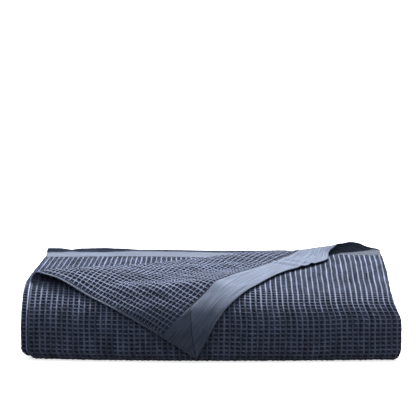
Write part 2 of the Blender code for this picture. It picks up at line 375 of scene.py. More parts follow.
def across(u):
    """The place in x of u, its height in the pack of four, and how far along the panels it is."""
    x, offset, share = np.zeros_like(u), np.zeros_like(u), np.zeros_like(u)
    for panel, (start, end) in enumerate(PANEL_ENDS):
        way = math.copysign(1.0, end - start)
        height = TOP_OFFSET - panel * LAYER_PITCH
        part = u - PANEL_STARTS[panel]
        here = part >= (0.0 if panel else -1.0)
        x[here] = start + way * part[here]
        offset[here] = height
        share[here] = panel + np.clip(part[here] / PANEL_WIDTHS[panel], 0.0, 1.0)
        if panel < 3:
            here = part > PANEL_WIDTHS[panel]
            swing = np.pi * (part[here] - PANEL_WIDTHS[panel]) / FOLD_LENGTH
            x[here] = end + way * LAYER_PITCH / 2 * np.sin(swing)
            offset[here] = height - LAYER_PITCH / 2 * (1 - np.cos(swing))
            share[here] = panel + 1.0
    return x, offset, share


CREASE_LENGTH = float(np.linalg.norm(CREASE_RIGHT - CREASE_LEFT))
CREASE_WAY = (CREASE_RIGHT - CREASE_LEFT) / CREASE_LENGTH
CREASE_OUT = np.array((-CREASE_WAY[1], CREASE_WAY[0]))


def eased(rows, place, column, at):
    """One column of a table, at places given by another and eased between its rows."""
    places = np.array([getattr(row, place) for row in rows])
    values = np.array([getattr(row, column) for row in rows])
    at = np.clip(at, places[0], places[-1])
    low = np.clip(np.searchsorted(places, at, side="right") - 1, 0, len(rows) - 2)
    part = smooth((at - places[low]) / (places[low + 1] - places[low]))
    return values[low] + (values[low + 1] - values[low]) * part


def behind_crease(x, distance):
    """How far a place on the unrolled top lies behind the crease."""
    return (x - CREASE_LEFT[0]) * CREASE_OUT[0] + (distance - CREASE_LEFT[1]) * CREASE_OUT[1]


def turned(x, distance):
    """Where a place on the unrolled top goes as the corner is turned: x, distance and rise."""
    behind = behind_crease(x, distance)
    along = (x - CREASE_LEFT[0]) * CREASE_WAY[0] + (distance - CREASE_LEFT[1]) * CREASE_WAY[1]
    radius, reach, settle = (
        eased(ROLL, "share", column, along / CREASE_LENGTH)
        for column in ("radius", "reach", "settle")
    )
    girth = np.pi * np.sqrt((reach**2 + radius**2) / 2)
    even = (reach**2 - radius**2) / (reach**2 + radius**2) / 4
    part = np.pi * np.clip(behind / girth, 0.0, 1.0)
    swing = part - even * np.sin(2 * part)
    back = np.maximum(behind - girth, 0.0)
    hold = ROLL_HOLD * smooth(1 - along / CREASE_LENGTH / ROLL_HOLD_SHARE)
    ease = (1 + np.cos(np.pi * np.clip((back - hold) / settle, 0.0, 1.0))) / 2
    rolled = part < np.pi
    in_front = FLAP_STRETCH * back + FLAP_EASE * smooth(back / FLAP_SLIDE_REACH)
    out = np.where(rolled, reach * np.sin(swing), -in_front)
    settled = FLAP_REST + (2 * radius - FLAP_REST) * ease
    rise = np.where(rolled, radius * (1 - np.cos(swing)), settled)
    along = along + FLAP_SLIDE * smooth(back / FLAP_SLIDE_REACH)
    place_x = CREASE_LEFT[0] + along * CREASE_WAY[0] + out * CREASE_OUT[0]
    place_y = CREASE_LEFT[1] + along * CREASE_WAY[1] + out * CREASE_OUT[1]
    return place_x, place_y, rise


def soft_ridges(x, y):
    """The height of the soft ridges at a place of the turned corner."""
    height = np.zeros_like(x)
    for ridge in SOFT_RIDGES:
        way_x, way_y = ridge.to_x - ridge.from_x, ridge.to_y - ridge.from_y
        length = math.hypot(way_x, way_y)
        part = ((x - ridge.from_x) * way_x + (y - ridge.from_y) * way_y) / length**2
        beside = np.abs((x - ridge.from_x) * way_y - (y - ridge.from_y) * way_x) / length
        ends = smooth((part + RIDGE_END) / (2 * RIDGE_END))
        ends = ends * smooth((1 + RIDGE_END - part) / (2 * RIDGE_END))
        height = height + ridge.height * ends * smooth(1 - beside / ridge.width)
    return height


def lip(v, share):
    """How far the back hem's free edge curls up, and how far that draws it in."""
    turn = np.arccos(1 - eased(LIPS, "share", "height", share) / LIP_CURL)
    swing = np.maximum(turn - v / LIP_CURL, 0.0)
    return LIP_CURL * (1 - np.cos(swing)), LIP_CURL * (swing - np.sin(swing))


def over_front(distance, rise):
    """A point above the outer layer, as y and z, given its distance behind the shoulder."""
    radius = SHOULDER_RADIUS + TOP_OFFSET
    centre_z = TOP_Z - SHOULDER_RADIUS
    laid = radius + np.minimum(rise, FLAP_REST)
    swing = np.clip(-distance / laid, 0.0, math.pi / 2)
    below = HANG_STRETCH * np.maximum(-distance - laid * math.pi / 2, 0.0)
    y = SHOULDER_Y + np.maximum(distance, 0.0) - (radius + rise) * np.sin(swing)
    return y, centre_z + (radius + rise) * np.cos(swing) - below


def uneven(x, y, z):
    """The stack's own unevenness, which leaves its underside flat."""
    depth = y + STACK_DEPTH / 2
    frontness = smooth(1 - depth / STACK_DEPTH)
    height = z / TOP_Z
    reach = np.abs(x) / RIGHT_FOLD_X
    setback = np.where(x < 0.0, LEFT_SETBACK, RIGHT_SETBACK)
    wave = np.sin(11.0 * x + 0.8) * np.cos(9.0 * y + 0.5)
    wave = wave + 0.6 * np.sin(23.0 * x - 13.0 * y)
    droop_end = DROOP_DEPTH[1] + RIGHT_DROOP_DEPTH * ramp(x, *RIGHT_DROOP_X)
    droop = 1 - smooth((depth - DROOP_DEPTH[0]) / (droop_end - DROOP_DEPTH[0]))
    rise = smooth((depth - BACK_RISE_DEPTH[0]) / (BACK_RISE_DEPTH[1] - BACK_RISE_DEPTH[0]))
    narrow = RIGHT_NARROWING * frontness * ramp(height, *RIGHT_NARROWING_HEIGHT)
    taper = LEFT_NARROWING * ramp(depth, *LEFT_NARROWING_DEPTH) * ramp(height, *LEFT_NARROWING_HEIGHT)
    x = np.where(x > 0.0, x * (1 - narrow), x * (1 - taper))
    foot = np.where(x > 0.0, RIGHT_FOOT_NARROWING, LEFT_FOOT_NARROWING)
    x = x * (1 - foot * smooth((FOOT_NARROWING_HEIGHT - height) / FOOT_NARROWING_HEIGHT))
    y = y + setback * frontness * reach**SETBACK_POWER
    above = z - CLOTH_THICKNESS / 2
    above = above * (1 - FRONT_DROOP * droop) * (1 + BACK_RISE * rise) * (1 + TOP_WAVE * wave)
    return np.stack((x - CENTRE_X, y - CENTRE_Y, CLOTH_THICKNESS / 2 + above), axis=1)


def folded(u, v):
    """Where points of the flat cloth lie in the folded blanket."""
    x, offset, share = across(u)
    y, z, out_y, out_z = pack_place(v)
    fan = np.where(share > 1.0, HEM_FAN * np.minimum(share - 1.0, 1.0), 0.0)
    y = y + fan * np.clip(1 - v / TOP_RUN, 0.0, 1.0)
    raised, drawn = lip(v, share)
    y = y + offset * out_y - drawn
    z = z + offset * out_z + raised
    behind = behind_crease(x, TOP_RUN - v)
    corner = (share < 1.0) & (v < SHOULDER_END) & (behind > 0.0)
    near_crease = 1 - smooth(behind / CURL_FADE)
    near_crest = smooth(1 - np.abs(x - CREST_X) / CREST_REACH)
    drawn = drawn * np.where(corner, near_crease, 0.0)
    drawn = drawn + CREST_DRAW * near_crest * smooth(1 - v / HEM_WIDTH)
    place_x, place_y, rise = turned(x[corner], TOP_RUN - v[corner] - drawn[corner])
    rise = rise + raised[corner] * near_crease[corner]
    rise = rise + soft_ridges(place_x, place_y) * ramp(behind[corner], *RIDGE_GROWTH)
    y[corner], z[corner] = over_front(place_y, rise)
    away = np.hypot((u[corner] - DRAW_U) / DRAW_REACH[0], v[corner] / DRAW_REACH[1])
    x[corner] = place_x - DRAW_IN * smooth(1 - away)
    return uneven(x, y, z)


# ----------------------------------------------------------- the flat lattice


def folded_outside(u, v):
    """The top panel's outer side as if no corner were turned."""
    x, offset, _ = across(u)
    y, z, out_y, out_z = pack_place(v)
    outer = offset + CLOTH_THICKNESS / 2
    return uneven(x, y + outer * out_y, z + outer * out_z)


def true_steps():
    """Even places in v down to the foot, and the true length of each step between them."""
    v = np.linspace(0.0, FOOT_END, MEASURED_PLACES)
    line = folded_outside(np.full_like(v, MEASURED_U), v)
    steps = np.linalg.norm(np.diff(line, axis=0), axis=1)
    steps[v[1:] < TOP_RUN - MEASURED_BEHIND] = v[1] - v[0]
    return v, steps


STEP_PLACES, TRUE_STEPS = true_steps()
TRUE_LENGTH = float(np.sum(TRUE_STEPS)) + CLOTH_LENGTH - FOOT_END


def v_of_length(lengths):
    """Turns true lengths along the top panel into v, so that its cells keep their size."""
    true = np.concatenate(([0.0], np.cumsum(TRUE_STEPS)))
    beyond = lengths - true[-1]
    return np.where(beyond > 0.0, FOOT_END + beyond, np.interp(lengths, true, STEP_PLACES))


def cell_edges(length, border, border_cells, pitch):
    """Cell edges along one side of the cloth, with plain borders at both ends."""
    inner = length - 2 * border
    count = round(inner / pitch)
    plain = np.linspace(0.0, border, border_cells + 1)
    woven = border + inner * np.arange(count + 1) / count
    return np.concatenate((plain[:-1], woven, length - plain[::-1][1:]))


def row_edges():
    """Cell edges along the cloth's length, a little closer near the turned corner."""
    edges = cell_edges(TRUE_LENGTH - CORNER_LENGTH, HEM_WIDTH, HEM_ROWS, CELL_LENGTH)
    count = round((CORNER_LENGTH + CELL_LENGTH) / CORNER_CELL_LENGTH)
    near = HEM_WIDTH + (CORNER_LENGTH + edges[HEM_ROWS + 1] - HEM_WIDTH) * np.arange(count) / count
    return np.concatenate((edges[:HEM_ROWS], near, edges[HEM_ROWS + 1 :] + CORNER_LENGTH))


def sub_lines(edges, shares, border_shares, border):
    """Every line of the lattice: four to a cell."""
    table = np.tile(shares, (len(edges) - 1, 1))
    table[:border] = table[len(table) - border :] = border_shares
    lines = edges[:-1, None] + np.diff(edges)[:, None] * table
    return np.append(lines.ravel(), edges[-1])


U_EDGES = cell_edges(CLOTH_WIDTH, SELVEDGE_WIDTH, 1, CELL_WIDTH)
S_EDGES = row_edges()
U_LINES = sub_lines(U_EDGES, RIB_LINES, HEM_LINES, 1)
S_LINES = sub_lines(S_EDGES, CROSS_LINES, HEM_LINES, HEM_ROWS)
V_LINES = v_of_length(S_LINES)
V_EDGES = V_LINES[::4]
COLUMNS = len(U_EDGES) - 1
ROWS = len(S_EDGES) - 1
U_MIDDLES = (U_EDGES[:-1] + U_EDGES[1:]) / 2
V_MIDDLES = (V_EDGES[:-1] + V_EDGES[1:]) / 2

# How far fine cells go on past what shows: under the turned corner from its crease, its
# side and its hem, on the panel that it bares, at the back turns, the side folds, the
# cloth's own edges and the far hem
COVER_FROM_CREASE = 0.028
COVER_FROM_SIDE = 0.050
COVER_FROM_HEM = 0.045
BARED_MARGIN = 0.025
TURN_MARGIN = 0.02
FOLD_MARGIN = 0.006
EDGE_MARGIN = 0.010
HEM_MARGIN = 0.001


def cell_levels():
    """How finely each cell is cut: 4 where it shows up close, 2 where it shows, and 1 if hidden."""
    u, v = np.meshgrid(U_MIDDLES, V_MIDDLES)
    levels = np.ones(u.shape, int)
    x, _, share = across(u.ravel())
    x, share = x.reshape(u.shape), share.reshape(u.shape)
    distance = TOP_RUN - v
    behind = behind_crease(x, distance)
    top = u < TOP_WIDTH
    levels[top & (v < FOOT_END)] = 4
    levels[top & (v >= FOOT_END) & (v < BACK_TURNS[0][0])] = 2
    mirror_x = x - 2 * behind * CREASE_OUT[0]
    mirror_y = distance - 2 * behind * CREASE_OUT[1]
    covered = top & (v < SHOULDER_END) & (behind < -COVER_FROM_CREASE)
    covered = covered & (mirror_x > TOP_EDGE_X + COVER_FROM_SIDE)
    levels[covered & (mirror_y < TOP_RUN - COVER_FROM_HEM)] = 1
    for start, end in BACK_TURNS:
        levels[top & (v > start - TURN_MARGIN) & (v < end + TURN_MARGIN)] = 4
    second = (share > 1.0) & (share < 2.0) & (v < TOP_RUN)
    levels[second & (behind > -BARED_MARGIN)] = 4
    for panel in range(3):
        start = PANEL_STARTS[panel] + PANEL_WIDTHS[panel]
        levels[(u > start - FOLD_MARGIN) & (u < start + FOLD_LENGTH + FOLD_MARGIN)] = 4
    levels[(u < EDGE_MARGIN) | (u > CLOTH_WIDTH - EDGE_MARGIN)] = 4
    far_hem = S_EDGES[:-1, None] > TRUE_LENGTH - HEM_WIDTH - HEM_MARGIN
    hems = (v < HEM_WIDTH) | far_hem
    levels[hems] = np.maximum(levels[hems], 2)
    return levels


LEVELS = cell_levels()
SPAN = len(U_LINES)


def side_points(fixed, start, end, segments, along_u):
    """Lattice places along one side of a face, without its end."""
    places = [start + (end - start) * i // segments for i in range(segments)]
    return [fixed * SPAN + place if along_u else place * SPAN + fixed for place in places]


def piece_faces(row_range, column_range):
    """The faces of a block of cells, as lattice places, joined where fine cells meet coarse ones."""
    padded = np.pad(LEVELS, 1, mode="edge")
    quads = []
    polygons = []
    rows = np.arange(*row_range)
    columns = np.arange(*column_range)
    j, i = np.meshgrid(rows, columns, indexing="ij")
    level = LEVELS[j, i]
    near = (padded[j, i + 1], padded[j + 2, i + 1], padded[j + 1, i], padded[j + 1, i + 2])
    finer = np.any([side > level for side in near], axis=0)
    for size in (4, 2, 1):
        step = 4 // size
        plain = (level == size) & ~finer
        corner = (4 * j[plain] * SPAN + 4 * i[plain])[:, None]
        for b in range(0, 4, step):
            for a in range(0, 4, step):
                places = np.array((b * SPAN + a, (b + step) * SPAN + a))
                places = np.concatenate((places, places[::-1] + step))
                quads.append(corner + places)
    for row, column in zip(j[finer], i[finer]):
        size = LEVELS[row, column]
        step = 4 // size
        around = padded[row : row + 3, column : column + 3]
        above, below, left, right = around[0, 1], around[2, 1], around[1, 0], around[1, 2]
        for b in range(4 * row, 4 * row + 4, step):
            for a in range(4 * column, 4 * column + 4, step):
                on_left = max(left // size, 1) if a == 4 * column else 1
                on_right = max(right // size, 1) if a + step == 4 * column + 4 else 1
                on_top = max(above // size, 1) if b == 4 * row else 1
                on_low = max(below // size, 1) if b + step == 4 * row + 4 else 1
                polygons.append(
                    side_points(a, b, b + step, on_left, False)
                    + side_points(b + step, a, a + step, on_low, True)
                    + side_points(a + step, b + step, b, on_right, False)
                    + side_points(b, a + step, a, on_top, True)
                )
    return np.concatenate(quads), polygons


# ------------------------------------------------------------- the woven face


def wander(waves, u, v):
    """How far a set of waves moves a place."""
    return sum(wave.size * np.sin(wave.by_u * u + wave.by_v * v) for wave in waves)


def drift(u, v, row, column):
    """The weave's small wander, none at the edges."""
    hold = smooth(u / DRIFT_FADE_U) * smooth((CLOTH_WIDTH - u) / DRIFT_FADE_U)
    hold = hold * smooth(v / DRIFT_FADE_V) * smooth((CLOTH_LENGTH - v) / DRIFT_FADE_V)
    du = wander(DRIFT_ACROSS, u, v) + CELL_JITTER * scatter(row, column, *SCATTER_ACROSS)
    dv = wander(DRIFT_ALONG, u, v)
    dv = dv + CELL_JITTER_ALONG * CELL_JITTER * scatter(row, column, *SCATTER_ALONG)
    return u + du * hold, v + dv * hold


def scatter(row, column, first, second):
    """A number from -1 to 1 for each cell, which looks random and never changes."""
    value = np.sin(row * first + column * second) * SCATTER_SIZE
    return 2 * (value - np.floor(value)) - 1


def bow(u, v):
    """How much wider the hem is at its turned corner."""
    near = np.clip(1 - u / BOW_WIDTH, 0.0, 1.0)
    rise = np.clip(v / HEM_WIDTH, 0.0, 1.0) * smooth(1 - (v - HEM_WIDTH) / BOW_REACH)
    return BOW * near * rise


def past_border(distance, fade):
    """0 on a plain border, and 1 well past it."""
    return smooth((distance + BORDER_OVERLAP) / fade)


def plainness(u, s):
    """1 on the hems and woven edges, 0 on the waffle weave."""
    inside = past_border(s - HEM_WIDTH, HEM_FADE)
    inside = inside * past_border(TRUE_LENGTH - HEM_WIDTH - s, HEM_FADE)
    inside = inside * past_border(u - SELVEDGE_WIDTH, SELVEDGE_FADE)
    return 1 - inside * past_border(CLOTH_WIDTH - SELVEDGE_WIDTH - u, SELVEDGE_FADE)


def showing_side(u, v):
    """1 where the cloth's outer side shows, and -1 where its reverse does."""
    x, _, share = across(u)
    behind = behind_crease(x, TOP_RUN - v)
    on_top = 1 - 2 * ramp(behind, *CREASE_SHOWS) * (v < SHOULDER_END)
    start = PANEL_STARTS[1]
    end = PANEL_STARTS[2] + PANEL_WIDTHS[2]
    under = 1 - 2 * ramp(u - start, *START_SHOWS) * ramp(end - u, *END_SHOWS)
    return np.where(share < 1.0, on_top, under)


def uneven_ridges(u, v):
    """How much the ridges differ in height, in patches and from rib to rib."""
    patches = 0.10 * np.sin(190.0 * u + 37.0 * v) * np.sin(150.0 * v - 61.0 * u)
    return 1 + patches + 0.06 * np.sin(430.0 * u)


def outward(u, v):
    """The way the outer side faces."""
    step = 0.0004
    by_u = folded(u + step, v) - folded(u - step, v)
    by_v = folded(u, v + step) - folded(u, v - step)
    normal = -np.cross(by_u, by_v)
    return normal / np.maximum(np.linalg.norm(normal, axis=1, keepdims=True), 1e-12)


def place(u, v, height):
    """Points of the cloth at a height over its middle, towards its outer side."""
    v = v + bow(u, v)
    return folded(u, v) + outward(u, v) * height[:, None]


def woven_points(places):
    """The lattice points: where they lie, how pale they are, and if they are plain.
    The paleness holds painted shade in the hollows and on the top panel's hem, and a
    painted highlight on the woven edge's outermost thread.
    """
    row, column = np.divmod(places, SPAN)
    u, s, v = U_LINES[column], S_LINES[row], V_LINES[row]
    profile = np.array(RIDGE_PROFILE)
    along, cross = profile[column % 4], profile[row % 4]
    side = showing_side(u, v)
    reverse = (1 - side) / 2
    pairs = (RIB_HEIGHT, RIB_TONE, CROSS_HEIGHT, CROSS_TONE, CROSS_SIDE_TONE, SELVEDGE_TONE)
    rib_height, rib_tone, cross_height, cross_tone, side_tone, edge_tone, thread_highlight = (
        pair[0] + (pair[1] - pair[0]) * reverse for pair in (*pairs, SELVEDGE_THREAD_HIGHLIGHT)
    )
    ridge = np.maximum(rib_height * along, cross_height * cross)
    # Pale on the ridge tops, falling to painted shade down the walls and in the hollows
    tone = np.maximum(rib_tone * along, cross_tone * cross)
    tone = np.maximum(tone, side_tone * (row % 4 == 3))
    plain = plainness(u, s)
    cell_row, cell_column = row // 4, column // 4
    uneven_cell = 1 + CELL_UNEVENNESS * scatter(cell_row, cell_column, *SCATTER_HEIGHT)
    lifted = FLOOR_HEIGHT + ridge * WEAVE_DEPTH * uneven_ridges(u, v) * uneven_cell
    height = (1 - plain) * lifted * side
    moved_u, moved_v = drift(u, v, cell_row, cell_column)
    points = place(moved_u, moved_v, height + plain * PLAIN_OFFSET)
    points[:, 2] = np.maximum(points[:, 2], FLOOR_CLEARANCE)
    edge = np.minimum(u, CLOTH_WIDTH - u)
    in_hem = np.minimum(s, TRUE_LENGTH - s) < HEM_WIDTH
    # The outermost thread gets a painted highlight
    edge_tone = np.where(edge < SELVEDGE_THREAD, thread_highlight, edge_tone)
    # The top panel's hem is darkened as painted shade
    plain_tone = np.where(in_hem, np.where(u < TOP_WIDTH, *HEM_OUTER_TONE_AND_SHADE), edge_tone)
    return points, np.where(plain > 0.5, plain_tone, tone), plain, u, s


class Skin:
    """Points and faces gathered for one object."""

    def __init__(self):
        self.points, self.ridge, self.plain, self.u, self.s = [], [], [], [], []
        self.loops, self.sizes = [], []
        self.count = 0

    def add(self, points, ridge, plain, u, s, loops, sizes):
        self.points.append(points)
        self.ridge.append(ridge)
        self.plain.append(plain)
        self.u.append(u)
        self.s.append(s)
        self.loops.append(np.asarray(loops) + self.count)
        self.sizes.append(np.asarray(sizes))
        self.count += len(points)

    def weave(self, row_range, column_range):
        quads, polygons = piece_faces(row_range, column_range)
        flat = np.concatenate([quads.ravel()] + [np.array(polygon) for polygon in polygons])
        sizes = np.concatenate((np.full(len(quads), 4), np.array([len(p) for p in polygons], int)))
        used, loops = np.unique(flat.astype(np.int64), return_inverse=True)
        self.add(*woven_points(used), loops.ravel(), sizes)

    def strip(self, u, s, height, tone):
        """A grid of plain cloth, and how pale each point is."""
        rows, columns = u.shape
        v = v_of_length(np.maximum(s, 0.0)) + np.minimum(s, 0.0)
        points = place(u.ravel(), v.ravel(), height.ravel())
        index = np.arange(rows * columns).reshape(rows, columns)
        faces = np.stack((index[:-1, :-1], index[1:, :-1], index[1:, 1:], index[:-1, 1:]), axis=2)
        faces = faces.reshape(-1, 4)
        plain = np.ones(len(points))
        sizes = np.full(len(faces), 4)
        self.add(points, tone.ravel(), plain, u.ravel(), s.ravel(), faces.ravel(), sizes)

    def finish(self, name, material):
        points = np.concatenate(self.points)
        loops = np.concatenate(self.loops)
        sizes = np.concatenate(self.sizes)
        starts = np.concatenate(([0], np.cumsum(sizes)[:-1]))
        mesh = bpy.data.meshes.new(name)
        mesh.vertices.add(len(points))
        mesh.vertices.foreach_set("co", points.astype(np.float32).ravel())
        mesh.loops.add(len(loops))
        mesh.loops.foreach_set("vertex_index", loops.astype(np.int32))
        mesh.polygons.add(len(sizes))
        mesh.polygons.foreach_set("loop_start", starts.astype(np.int32))
        mesh.update(calc_edges=True)
        mesh.validate()
        cell_u, cell_s = np.concatenate(self.u) / CELL_WIDTH, np.concatenate(self.s) / CELL_LENGTH
        cells = np.stack((cell_u, cell_s), axis=1)
        layer = mesh.uv_layers.new(name="cells")
        index = np.empty(len(mesh.loops), np.int32)
        mesh.loops.foreach_get("vertex_index", index)
        layer.data.foreach_set("uv", cells[index].astype(np.float32).ravel())
        # The ridge attribute holds each point's paleness, painted shade and painted highlights
        # included
        for label, values in (("ridge", self.ridge), ("plain", self.plain)):
            attribute = mesh.attributes.new(label, "FLOAT", "POINT")
            attribute.data.foreach_set("value", np.concatenate(values).astype(np.float32))
        plain = np.concatenate(self.plain)[loops]
        mesh.polygons.foreach_set("use_smooth", np.minimum.reduceat(plain, starts) > 0.5)
        mesh.materials.append(material)
        obj = bpy.data.objects.new(name, mesh)
        bpy.context.scene.collection.objects.link(obj)
        return obj


# ------------------------------------------------------------ hems and edges

# Round the free edge at a hem: how far in from it, and at what height
RimRow = namedtuple("RimRow", "inward height")
RIM = (
    RimRow(inward=0.0000, height=PLAIN_OFFSET),
    RimRow(inward=-0.0007, height=PLAIN_OFFSET - 0.0003),
    RimRow(inward=-0.0009, height=-0.0003),
    RimRow(inward=-0.0006, height=HEM_TURN_OFFSET + 0.0002),
    RimRow(inward=0.0003, height=HEM_TURN_OFFSET),
)

# Round the woven edge, to a narrow band on the reverse, and how pale it is there. The rounded edge is
# painted pale as a highlight.
EDGE_RIM = (
    RimRow(inward=0.0000, height=PLAIN_OFFSET),
    RimRow(inward=-0.0006, height=0.0002),
    RimRow(inward=-0.0004, height=-0.0006),
    RimRow(inward=0.0004, height=-0.0009),
    RimRow(inward=0.0011, height=-0.0008),
    RimRow(inward=0.0024, height=-0.0008),
    RimRow(inward=0.0033, height=-0.0002),
)
EDGE_HIGHLIGHT_TONES = (3.0, 3.0, 1.6, 1.3, 0.8, 0.7, 0.7)

# How pale the hem's turned part is, on the top panel and on the others, and how pale
# the mitre's gusset and the seams are. The seams' near black is painted shade in their grooves.
HEM_TONES = (0.98, 0.80)
GUSSET_TONE = 0.72
SEAM_SHADE_TONE = 0.03
SEAM_WIDTH = 0.0022

# The turned part ends at its seam, a little over the cloth, then goes down into it: how
# far on from the seam, and at what height
SEAM_HEIGHT = HEM_TURN_OFFSET + 0.0001
TURN_END = ((0.0004, HEM_TURN_OFFSET + 0.0004), (0.0005, 0.0))

# The least depth of the turned part at its corner, to its end and to its seam
LEAST_DEPTH = 0.0008
LEAST_SEAM_DEPTH = 0.0006

# The gusset: where it starts as a share of the hem's width and how far it goes on past
# it, how far it laps the mitre and stays from the woven edge, how wide it is at the
# least, and its grid
GUSSET_START = 0.02
GUSSET_BEYOND = 0.0006
GUSSET_LAP = 0.0011
GUSSET_FROM_EDGE = 0.0030
LEAST_GUSSET = 0.0002
GUSSET_ROWS = 19
GUSSET_COLUMNS = 9
GUSSET_SPREAD = 1.5


def hem_strip(skin, column_range, far_end):
    """The hem's turned part: round the edge and back, cut off square or along its mitre."""
    lines = U_LINES[4 * column_range[0] : 4 * column_range[1] + 1 : 2]
    from_corner = np.minimum(lines, CLOTH_WIDTH - lines)
    depth = np.clip(from_corner * MITRE_SLOPE, LEAST_DEPTH, HEM_WIDTH)
    shares = np.linspace(0.0, 1.0, 2 * HEM_ROWS + 1)[1:]
    hem_tone = HEM_TONES[column_range[0] > 0]
    rows = [(np.full_like(lines, row.inward), row.height, hem_tone) for row in RIM]
    before_seam = np.maximum(depth - SEAM_WIDTH, LEAST_SEAM_DEPTH)
    rows += [(before_seam * share, HEM_TURN_OFFSET, hem_tone) for share in shares]
    # The seam's rows are painted in shade
    rows += [(depth, SEAM_HEIGHT, SEAM_SHADE_TONE)]
    rows += [(depth + beyond, height, SEAM_SHADE_TONE) for beyond, height in TURN_END]
    inward = np.array([row[0] for row in rows])
    height, tone = (
        np.repeat([row[i] for row in rows], len(lines)).reshape(inward.shape) for i in (1, 2)
    )
    s = TRUE_LENGTH - inward if far_end else inward
    u = np.broadcast_to(lines, s.shape)
    skin.strip(u.copy(), s, height, tone)


def mitre_gusset(skin, far_side, far_end):
    """The three-cornered fold beside the mitre, out to the woven edge."""
    share = np.linspace(GUSSET_START, 1.0, GUSSET_ROWS)
    s = np.append(share * HEM_WIDTH, HEM_WIDTH + GUSSET_BEYOND)
    mitre = s / MITRE_SLOPE + GUSSET_LAP
    seam = np.array((0.0, 0.0, SEAM_WIDTH))[:, None]
    spread = np.linspace(0.0, 1.0, GUSSET_COLUMNS)[1:, None] ** GUSSET_SPREAD
    span = np.maximum(mitre - GUSSET_FROM_EDGE, SEAM_WIDTH + LEAST_GUSSET)
    from_mitre = SEAM_WIDTH + spread * (span - SEAM_WIDTH)
    u = mitre - np.concatenate((np.broadcast_to(seam, (3, len(s))), from_mitre))
    height = np.full(u.shape, HEM_TURN_OFFSET)
    tone = np.full(u.shape, GUSSET_TONE)
    height[0] = height[:, -1] = 0.0
    # Painted shade along the gusset's seams
    tone[:2] = tone[:, -1] = SEAM_SHADE_TONE
    u = CLOTH_WIDTH - u if far_side else u
    s = TRUE_LENGTH - s if far_end else s
    skin.strip(u, np.broadcast_to(s, u.shape).copy(), height, tone)


def edge_strip(skin, row_range, far_side):
    """The narrow woven edge, round to the reverse."""
    lines = S_LINES[4 * row_range[0] : 4 * row_range[1] + 1 : 2]
    inward = np.array([row.inward for row in EDGE_RIM])
    height = np.array([row.height for row in EDGE_RIM])
    u = CLOTH_WIDTH - inward if far_side else inward
    shape = (len(lines), len(inward))
    # Painted highlight along the rounded woven edge
    skin.strip(
        np.broadcast_to(u, shape).copy(),
        np.broadcast_to(lines[:, None], shape).copy(),
        np.broadcast_to(height, shape).copy(),
        np.broadcast_to(EDGE_HIGHLIGHT_TONES, shape).copy(),
    )


# ------------------------------------------------------------------ materials


def feed(tree, socket, value):
    """Links a socket to another node's output, or sets it to a value."""
    if isinstance(value, bpy.types.NodeSocket):
        tree.links.new(value, socket)
    else:
        socket.default_value = value


def node(tree, kind, **inputs):
    made = tree.nodes.new(kind)
    for name, value in inputs.items():
        feed(tree, made.inputs[name.replace("_", " ")], value)
    return made


def maths(tree, operation, *values):
    made = tree.nodes.new("ShaderNodeMath")
    made.operation = operation
    for socket, value in zip(made.inputs, values):
        feed(tree, socket, value)
    return made.outputs[0]


def mix_colour(tree, factor, first, second, blend="MIX"):
    made = tree.nodes.new("ShaderNodeMix")
    made.data_type = "RGBA"
    made.blend_type = blend
    for socket, value in ((0, factor), (6, first), (7, second)):
        feed(tree, made.inputs[socket], value)
    return made.outputs[2]


def stretched(tree, across_cells, along_cells, across_scale, along_scale):
    """Cell coordinates for noise that is drawn out along one way of the cloth."""
    x = maths(tree, "MULTIPLY", across_cells, across_scale)
    y = maths(tree, "MULTIPLY", along_cells, along_scale)
    return node(tree, "ShaderNodeCombineXYZ", X=x, Y=y).outputs[0]


def thread_waves(tree, across_cells, along_cells, counts):
    """Waves with so many threads to a cell across and along the cloth."""
    return [
        maths(tree, "SINE", maths(tree, "MULTIPLY", cells, math.tau * count))
        for cells, count in zip((across_cells, along_cells), counts)
    ]


# The plain cloth's yarn, the painted shade of the waffle's hollows, its paler ridges, and the sheen on
# them all
YARN_BLUE = (0.110, 0.134, 0.194, 1.0)
HOLLOW_SHADE_BLUE = (0.054, 0.063, 0.108, 1.0)
PALE_BLUE = (0.160, 0.192, 0.279, 1.0)
SHEEN_BLUE = (0.72, 0.80, 1.0, 1.0)

# How sharply a ridge's paler blue falls off down its sides into painted shade
WALL_SHADE_POWER = 8.0

# Noise to a cell: slubs, broad patches, the hem's streaks of painted wrinkle light and shade, and the
# ribs' own tones
SLUB_SCALE = 1.3
BROAD_SCALE = 0.09
STREAK_SCALE = (0.14, 2.6)
RIB_SCALE = (1.0, 0.10)

# Threads to a cell, across and along, in the waffle weave and in the plain cloth
WAFFLE_THREADS = (11.0, 9.0)
PLAIN_THREADS = (16.0, 13.0)


